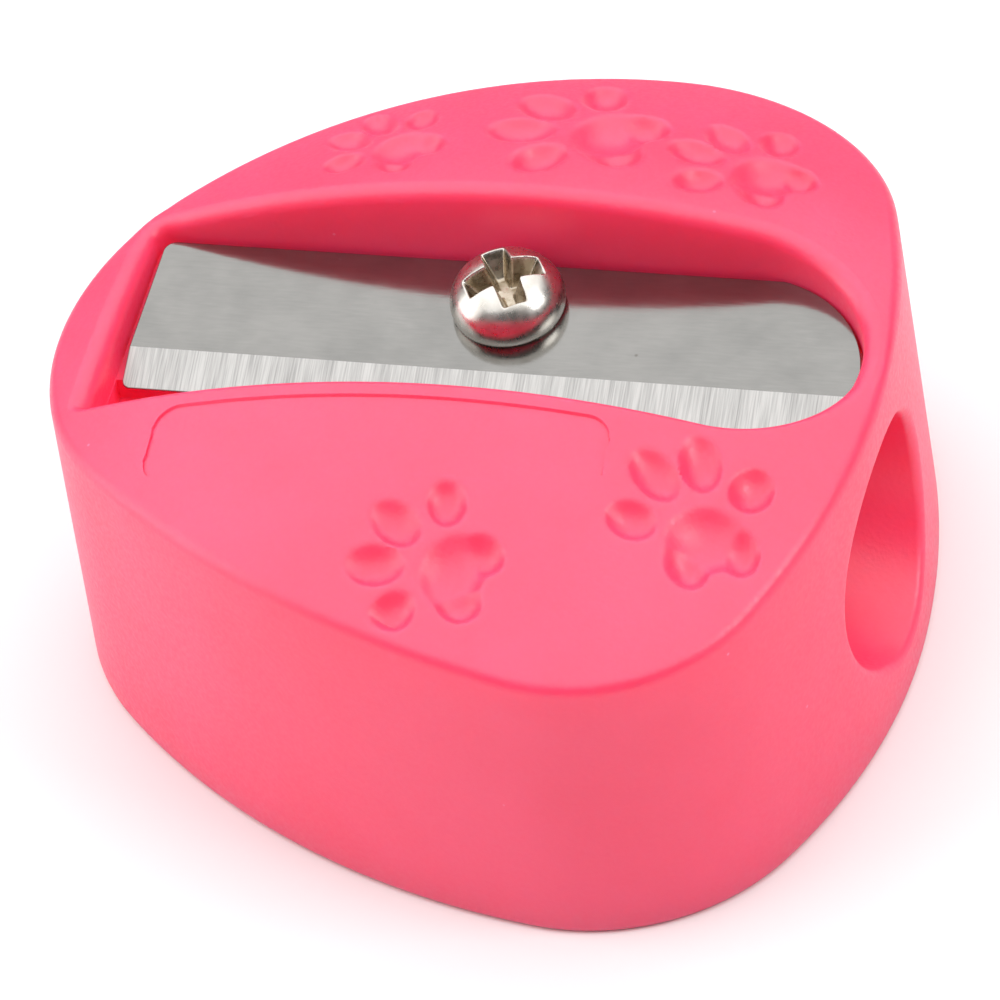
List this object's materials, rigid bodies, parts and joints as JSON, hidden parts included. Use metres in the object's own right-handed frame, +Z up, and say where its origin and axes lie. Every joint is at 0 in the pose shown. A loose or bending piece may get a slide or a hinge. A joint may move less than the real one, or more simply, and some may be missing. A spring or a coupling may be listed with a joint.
{
  "type": "pencil sharpener",
  "caption": "Moulded pencil sharpener with a rounded-triangle domed body, a conical pencil bore, and a steel blade held in a top pocket by a cross-recess screw.",
  "frame": {"origin": "centre of the bounding box at the flat base", "axes": "+X out of the pencil hole and along the blade, +Y to the back, away from the cutting edge, +Z up out of the crown"},
  "size_m": [0.028, 0.0276, 0.014],
  "materials": {
    "pink_plastic": "satin moulded plastic, bright pink, fine mould texture on the walls",
    "blade_steel": "rolled steel with a ground bevel, fine grinding lines square to the cutting edge",
    "nickel_plate": "bright nickel plating"
  },
  "bodies": {
    "root": {"body": "pink_plastic", "blade": "blade_steel", "blade_screw": "nickel_plate"}
  },
  "joints": []
}
